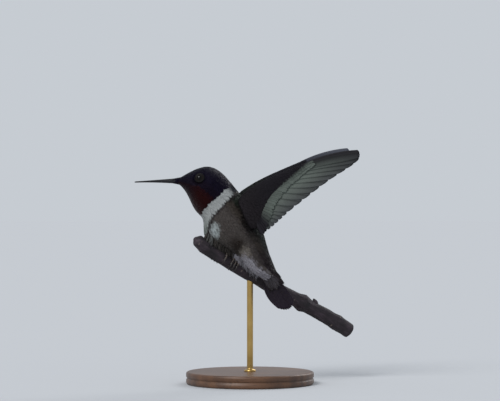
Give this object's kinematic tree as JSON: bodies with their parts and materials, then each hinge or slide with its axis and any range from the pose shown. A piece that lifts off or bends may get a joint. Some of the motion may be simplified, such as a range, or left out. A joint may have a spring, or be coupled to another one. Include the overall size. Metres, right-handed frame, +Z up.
{
  "type": "ruby-throated hummingbird",
  "caption": "Life-size male ruby-throated hummingbird with raised wings, perched on a cut twig on a plain round display stand.",
  "frame": {"origin": "centre of the underside of the stand's round base", "axes": "+Z up, the bird's bill points to -X, its left side faces -Y"},
  "size_m": [0.0802, 0.0463, 0.085],
  "materials": {
    "head_feathers": "dark iridescent green and ruby-black feathers",
    "collar_feathers": "soft white feathers",
    "body_feathers": "bronze-green above, dusky and greyish white below",
    "rump_feathers": "green above, pale undertail coverts",
    "covert_feathers": "small dark overlapping feathers",
    "flight_feathers": "stiff translucent grey-brown vanes",
    "tail_feathers": "stiff purplish black vanes",
    "horn_black": "smooth black horn",
    "eye_black": "wet glossy dark brown",
    "foot_skin": "fine dark scales",
    "bark": "thin mauve-brown bark",
    "walnut": "turned and oiled",
    "brass": "drawn rod, satin"
  },
  "bodies": {
    "root": {"bill": "horn_black", "eye_left": "eye_black", "eye_right": "eye_black", "head": "head_feathers", "neck": "collar_feathers", "trunk": "body_feathers", "rump": "rump_feathers", "tail": "tail_feathers", "wing_left_arm": "covert_feathers", "wing_left_primaries": "flight_feathers", "wing_left_secondaries": "flight_feathers", "wing_right_arm": "covert_feathers", "wing_right_primaries": "flight_feathers", "wing_right_secondaries": "flight_feathers", "leg_left": "foot_skin", "leg_right": "foot_skin", "twig": "bark", "stand_base": "walnut", "stand_rod": "brass"}
  },
  "joints": []
}
